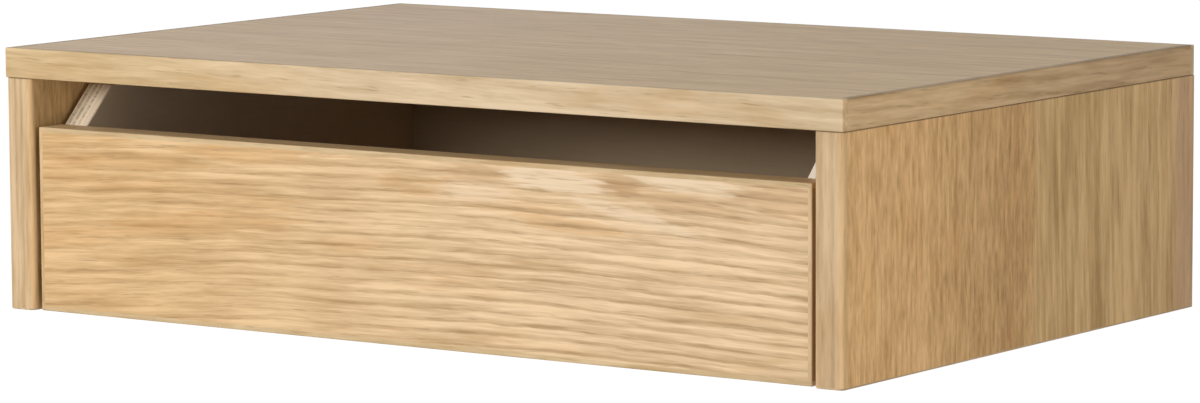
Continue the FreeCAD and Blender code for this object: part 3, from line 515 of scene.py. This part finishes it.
# The oak of each board.
FRONT_OAK = Leaf((0.88, 0.635, 0.385, 1.0), (0.435, 0.275, 0.125, 1.0), 0.62, 0.4, 1.0, 1.3)
FRONT_OAK_LEFT = Leaf((0.79, 0.53, 0.272, 1.0), (0.44, 0.26, 0.1, 1.0), 0.35, 0.9, 1.5, 1.2)
EDGE_OAK = Leaf((0.725, 0.535, 0.31, 1.0), (0.475, 0.32, 0.15, 1.0), 0.25, 0.8, 1.9, 0.8)
EDGE_OAK_PALE = Leaf((0.75, 0.575, 0.375, 1.0), (0.51, 0.36, 0.195, 1.0), 0.25, 0.8, 1.8, 0.8)
END_OAK = Leaf((0.825, 0.575, 0.32, 1.0), (0.53, 0.34, 0.155, 1.0), 0.3, 0.8, 2.2, 0.8)
END_OAK_BACK = Leaf((0.7, 0.475, 0.265, 1.0), (0.415, 0.255, 0.118, 1.0), 0.3, 0.8, 2.4, 0.8)
SIDE_OAK = Leaf((0.92, 0.565, 0.25, 1.0), (0.5, 0.262, 0.074, 1.0), 0.1, 0.8, 0.8, 1.9)
SIDE_OAK_INNER = Leaf((0.76, 0.455, 0.19, 1.0), (0.4, 0.208, 0.056, 1.0), 0.1, 0.9, 1.0, 2.0)
SIDE_OAK_BACK = Leaf((0.8, 0.52, 0.23, 1.0), (0.425, 0.245, 0.07, 1.0), 0.15, 1.7, 2.5, 0.7)
SIDE_OAK_END = Leaf((0.74, 0.46, 0.24, 1.0), (0.42, 0.25, 0.115, 1.0), 0.1, 1.0, 1.4, 0.7)
LEFT_OAK = Leaf((0.88, 0.61, 0.3, 1.0), (0.46, 0.295, 0.115, 1.0), 0.1, 0.8, 0.8, 1.6)
TOP_OAK = Leaf((0.96, 0.725, 0.49, 1.0), (0.64, 0.44, 0.243, 1.0), 0.3, 0.8, 1.9, 0.8)
# The top's right-hand part, darker as painted shade.
TOP_OAK_RIGHT_SHADED = Leaf((0.85, 0.615, 0.345, 1.0), (0.542, 0.348, 0.16, 1.0), 0.3, 0.8, 1.9, 0.8)
STRIP_OAK = Leaf((0.695, 0.5, 0.3, 1.0), (0.455, 0.3, 0.152, 1.0), 0.35, 0.8, 2.1, 0.9)
STRIP_OAK_CORNER = Leaf((0.9, 0.6, 0.31, 1.0), (0.6, 0.37, 0.165, 1.0), 0.35, 0.8, 2.1, 0.9)
LIP_OAK = Leaf((0.79, 0.57, 0.335, 1.0), (0.52, 0.345, 0.17, 1.0), 0.25, 0.8, 1.9, 0.8)

# The gloss of the hand-sanded edges, which is less than that of the faces.
DULL = 0.12

# The side panels are faced with two leaves of veneer that meet just behind the middle.
LEAF_JOINT = -0.168
LEAF_JOINT_WIDTH = 0.0006
LEAF_JUMP = 0.5

# How each board's wood changes along it. The top's change is painted shade: the top grows darker towards
# the right, where less light falls.
TOP_SHADE_CHANGES = [Change("X", -0.2, 0.25, TOP_OAK_RIGHT_SHADED)]
FRONT_EDGE_CHANGES = [Change("X", -0.22, 0.0, EDGE_OAK_PALE)]
SIDE_EDGE_CHANGES = [Change("Y", -0.34, -0.05, END_OAK_BACK)]
SIDE_CHANGES = [
    Change("Y", -0.3, -0.2, SIDE_OAK_INNER),
    Change("Y", LEAF_JOINT, LEAF_JOINT + LEAF_JOINT_WIDTH, SIDE_OAK_BACK, LEAF_JUMP),
    Change("Y", -0.03, -0.01, SIDE_OAK_END),
]
FRONT_CHANGES = [Change("X", -0.2, 0.12, FRONT_OAK)]

# The right-hand corner of a strip passes into the tone of the side, and the end of a lipping into that
# of its neighbour. The change starts at this depth from the end and is complete at a share of it.
CORNER_RADIUS = 0.0035
END_DEPTH = 0.0008
COMPLETE_SHARE = 0.25

# Painted shade in the seam between the top and the sides and in the gaps at the drawer front's ends,
# and a darker line along the rims of the top's side lippings.
SHADE_LINE_WIDTH = 0.0008
SEAM_SHADE_STRENGTH = 0.8
RIM_WIDTH = 0.0014
RIM_STRENGTH = 0.35
FRONT_END_SHADE_STRENGTH = 0.5

# The flame at the top of the drawer front, where the cut runs along the rings.
CREAM_OAK = (0.83, 0.63, 0.42, 1.0)
TAN_TINT = (0.84, 0.78, 0.71, 1.0)
FLAME = [
    Island("MULTIPLY", TAN_TINT, 0.9, 0.155, 0.024, 0.05, 0.005, 0.12),
    Island("MULTIPLY", TAN_TINT, 0.9, 0.131, 0.03, 0.016, 0.006, 0.1),
    Island("MULTIPLY", TAN_TINT, 0.9, 0.226, 0.027, 0.026, 0.008, 0.0),
    Island("MULTIPLY", WARM_TINT, 0.65, 0.007, 0.021, 0.024, 0.005, 0.0),
    Island("MULTIPLY", WARM_TINT, 0.7, 0.103, 0.006, 0.034, 0.004, 0.08),
    Island("MULTIPLY", TAN_TINT, 0.8, 0.045, 0.029, 0.024, 0.005, 0.0),
    Island("MULTIPLY", WARM_TINT, 0.55, -0.105, 0.03, 0.04, 0.005, -0.02),
    Island("MULTIPLY", WARM_TINT, 0.45, -0.185, 0.022, 0.05, 0.005, -0.03),
    Island("MULTIPLY", WARM_TINT, 0.45, -0.135, -0.008, 0.06, 0.007, -0.08),
    Island("MIX", CREAM_OAK, 0.85, 0.09, 0.029, 0.03, 0.0066, 0.05),
    Island("MIX", CREAM_OAK, 0.85, 0.173, 0.032, 0.031, 0.005, 0.03),
    Island("MIX", CREAM_OAK, 0.45, 0.042, 0.02, 0.028, 0.004, 0.0),
    Island("MIX", CREAM_OAK, 0.55, 0.14, 0.0135, 0.04, 0.0035, 0.2),
]


def near_end(end, side, depth, leaf):
    """A change of leaf close to the left (-1) or right (1) end of a board."""
    return Change("X", end - side * depth, end - side * depth * COMPLETE_SHARE, leaf)


def dress_top():
    """Oak on the top panel and its lippings."""
    outer = cad_box[1][0]
    ends = [near_end(side * outer, side, END_DEPTH, END_OAK) for side in (-1, 1)]
    rim = DarkLine("Z", cad_box[1][2], RIM_WIDTH, RIM_STRENGTH)
    dress(oak("oak_top", "X", "Y", TOP_OAK, seed=1, ring=0.006, heart=(0.42, 0.05, 0.02),
              gloss=0.6, matt=0.55, changes=TOP_SHADE_CHANGES), "top_panel")
    dress(oak("oak_top_front_edge", "X", "Z", EDGE_OAK, seed=2, ring=0.007, heart=(0.02, 0.03, 0.03),
              gloss=DULL, changes=FRONT_EDGE_CHANGES + ends), "top_front_lipping")
    dress(oak("oak_top_back_edge", "X", "Z", EDGE_OAK, seed=3, ring=0.006, heart=(0.1, 0.03, 0.02)),
          "top_back_lipping")
    for seed, side in ((4, "left"), (5, "right")):
        dress(oak(f"oak_top_{side}_edge", "Y", "Z", END_OAK, seed=seed, ring=0.006,
                  heart=(0.03, 0.04, 0.04), gloss=DULL, changes=SIDE_EDGE_CHANGES, joint=rim),
              f"top_{side}_lipping")


def dress_sides():
    """Oak on the side panels, their front strips and foot bands, and the back panel."""
    # Painted shade along the tops of the sides and their strips, in the seam under the top.
    seam_shade = DarkLine("Z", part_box("right_side_panel")[1].z, SHADE_LINE_WIDTH, SEAM_SHADE_STRENGTH)
    for seed, side, leaf in ((6, "left", LEFT_OAK), (7, "right", SIDE_OAK)):
        dress(oak(f"oak_{side}_side", "Z", "Y", leaf, seed=seed, ring=0.0046, heart=(0.25, 0.05, 0.06),
                  fleck=(75, 420), changes=SIDE_CHANGES, joint=seam_shade), f"{side}_side_panel")
    for strip_seed, foot_seed, side in ((8, 10, "left"), (9, 11, "right")):
        right_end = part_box(f"{side}_front_lipping")[1].x
        corner = near_end(right_end, 1, CORNER_RADIUS, STRIP_OAK_CORNER)
        dress(oak(f"oak_{side}_strip", "Z", "X", STRIP_OAK, seed=strip_seed, gloss=DULL, changes=[corner],
                  joint=seam_shade), f"{side}_front_lipping")
        dress(oak(f"oak_{side}_foot", "Y", "X", STRIP_OAK, seed=foot_seed), f"{side}_foot_band")
    dress(oak("oak_back", "X", "Z", SIDE_OAK, seed=12, ring=0.006), "back_panel")


def dress_drawer_front():
    """Oak on the drawer front and its lippings."""
    dress(oak("oak_drawer_front", "X", "Z", FRONT_OAK_LEFT, seed=13, ring=0.0058,
              heart=(-0.25, -0.0176, 0.22), wave=0.005, fleck=(30, 700), islands=FLAME,
              changes=FRONT_CHANGES), "drawer_front")
    for seed, edge in ((14, "top"), (15, "foot")):
        dress(oak(f"oak_drawer_{edge}_edge", "X", "Y", EDGE_OAK, seed=seed),
              f"drawer_front_{edge}_lipping")
    low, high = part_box("drawer_front_top_lipping")
    for seed, edge, end in ((16, "left", low.x), (17, "right", high.x)):
        # Painted shade on the drawer front's ends, where the gaps to the case sides are dark.
        end_shade = DarkLine("X", end, SHADE_LINE_WIDTH, FRONT_END_SHADE_STRENGTH)
        dress(oak(f"oak_drawer_{edge}_edge", "Z", "Y", LIP_OAK, seed=seed, gloss=DULL, joint=end_shade),
              f"drawer_front_{edge}_lipping")


def dress_drawer_box():
    """Birch plywood on the drawer's sides, back and bottom."""
    low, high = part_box("drawer_right_side")
    for seed, side, plain_wood in ((21, "left", PALE_BIRCH), (22, "right", WHITE_BIRCH)):
        dress(plywood(f"birch_{side}", "Y", "Z", low.x, high.x - low.x, PALE_BIRCH, plain_wood,
                      seed=seed), f"drawer_{side}_side")
    low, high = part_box("drawer_back")
    dress(plywood("birch_back", "X", "Z", -high.y, high.y - low.y, BROWN_BIRCH, PALE_BIRCH, seed=23),
          "drawer_back")
    low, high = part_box("drawer_bottom")
    dress(plywood("birch_bottom", "X", "Y", -high.z, high.z - low.z, PALE_BIRCH, PALE_BIRCH, seed=24),
          "drawer_bottom")


def dress_fittings():
    """Beech, metal, plastic and rubber on the fasteners and runners."""
    dress(beech("beech_dowel"), "case_dowels", "drawer_dowels")
    dress(metal("zinc_casting", ZINC_CASTING), "cam_locks")
    dress(metal("plated_screw", PLATED_SCREW),
          "cam_bolts", "cabinet_rail_screws", "drawer_rail_screws", "drawer_bottom_screws")
    dress(metal("plated_rail", PLATED_RAIL),
          "left_cabinet_rail", "right_cabinet_rail", "left_drawer_rail", "right_drawer_rail")
    dress(metal("polished_ball", POLISHED_BALL), "left_balls", "right_balls")
    dress(moulded("cage_plastic", CAGE_PLASTIC), "left_ball_cage", "right_ball_cage")
    dress(moulded("buffer_rubber", BUFFER_RUBBER), "left_rail_buffer", "right_rail_buffer")


def seen_directly(tree):
    """One for a ray from the camera, a mirror or glass, and zero for a ray that carries light."""
    path = tree.nodes.new("ShaderNodeLightPath")
    share = path.outputs["Is Camera Ray"]
    for kind in ("Is Glossy Ray", "Is Transmission Ray"):
        either = tree.nodes.new("ShaderNodeMath")
        either.operation = "MAXIMUM"
        tree.links.new(share, either.inputs[0])
        tree.links.new(path.outputs[kind], either.inputs[1])
        share = either.outputs[0]
    return share


def make_floor():
    """A pale floor well below the drawer. It is lifted to white where it is seen, and keeps its shadow."""
    half = FLOOR_SIZE / 2
    mesh = bpy.data.meshes.new("floor")
    corners = [(-half, -half, 0), (half, -half, 0), (half, half, 0), (-half, half, 0)]
    mesh.from_pydata(corners, [], [(0, 1, 2, 3)])
    floor = bpy.data.objects.new("floor", mesh)
    floor.location.z = FLOOR_HEIGHT
    bpy.context.scene.collection.objects.link(floor)

    material = bpy.data.materials.new("floor")
    material.use_nodes = True
    tree = material.node_tree
    shader = tree.nodes["Principled BSDF"]
    shader.inputs["Base Color"].default_value = (FLOOR_GREY, FLOOR_GREY, FLOOR_GREY, 1.0)
    shader.inputs["Roughness"].default_value = FLOOR_ROUGHNESS
    shader.inputs["Specular IOR Level"].default_value = 0.0
    shader.inputs["Emission Color"].default_value = WHITE
    lift = tree.nodes.new("ShaderNodeMath")
    lift.operation = "MULTIPLY"
    tree.links.new(seen_directly(tree), lift.inputs[0])
    lift.inputs[1].default_value = FLOOR_LIFT
    tree.links.new(lift.outputs[0], shader.inputs["Emission Strength"])
    mesh.materials.append(material)


def make_world():
    """Soft light from all round. The surroundings are white where they are seen."""
    world = bpy.data.worlds.new("studio")
    world.use_nodes = True
    bpy.context.scene.world = world
    tree = world.node_tree
    background = tree.nodes["Background"]
    background.inputs["Color"].default_value = WHITE
    strength = tree.nodes.new("ShaderNodeMapRange")
    tree.links.new(seen_directly(tree), strength.inputs["Value"])
    strength.inputs["To Min"].default_value = WORLD_LIGHT
    strength.inputs["To Max"].default_value = 1.0
    tree.links.new(strength.outputs[0], background.inputs["Strength"])


def direction(azimuth, elevation):
    """The way from the object to a place around it. The azimuth grows from the front to the right."""
    around = math.radians(azimuth)
    above = math.radians(elevation)
    level = math.cos(above)
    return Vector((math.sin(around) * level, -math.cos(around) * level, math.sin(above)))


def make_softbox(name, azimuth, elevation, distance, width, height, watts):
    """A soft lamp that faces the middle of the object."""
    lamp = bpy.data.lights.new(name, "AREA")
    lamp.shape = "RECTANGLE"
    lamp.size = width
    lamp.size_y = height
    lamp.energy = watts
    towards = direction(azimuth, elevation)
    softbox = bpy.data.objects.new(name, lamp)
    softbox.location = (Vector(cad_box[0]) + Vector(cad_box[1])) / 2 + towards * distance
    softbox.rotation_euler = towards.to_track_quat("Z", "Y").to_euler()
    softbox.visible_camera = False
    bpy.context.scene.collection.objects.link(softbox)


def make_camera():
    """The camera at the photo's viewpoint."""
    data = bpy.data.cameras.new("camera")
    data.sensor_fit = "HORIZONTAL"
    data.sensor_width = SENSOR_WIDTH_MM
    data.lens = SENSOR_WIDTH_MM * FOCAL_PIXELS / PHOTO_WIDTH
    data.clip_end = FLOOR_SIZE
    camera = bpy.data.objects.new("camera", data)
    yaw = math.radians(CAMERA_YAW)
    roll = math.radians(CAMERA_ROLL)
    forward = -direction(CAMERA_YAW, CAMERA_PITCH)
    level = Vector((math.cos(yaw), math.sin(yaw), 0.0))
    upright = level.cross(forward)
    right = math.cos(roll) * level + math.sin(roll) * upright
    up = math.cos(roll) * upright - math.sin(roll) * level
    turn = Matrix((right, up, -forward)).transposed().to_4x4()
    camera.matrix_world = Matrix.Translation(CAMERA_PLACE) @ turn
    bpy.context.scene.collection.objects.link(camera)
    bpy.context.scene.camera = camera


dress_top()
dress_sides()
dress_drawer_front()
dress_drawer_box()
dress_fittings()
make_floor()
make_world()
for name, settings in SOFTBOXES.items():
    make_softbox(name, **settings)
make_camera()
bpy.context.scene.view_settings.view_transform = "Standard"
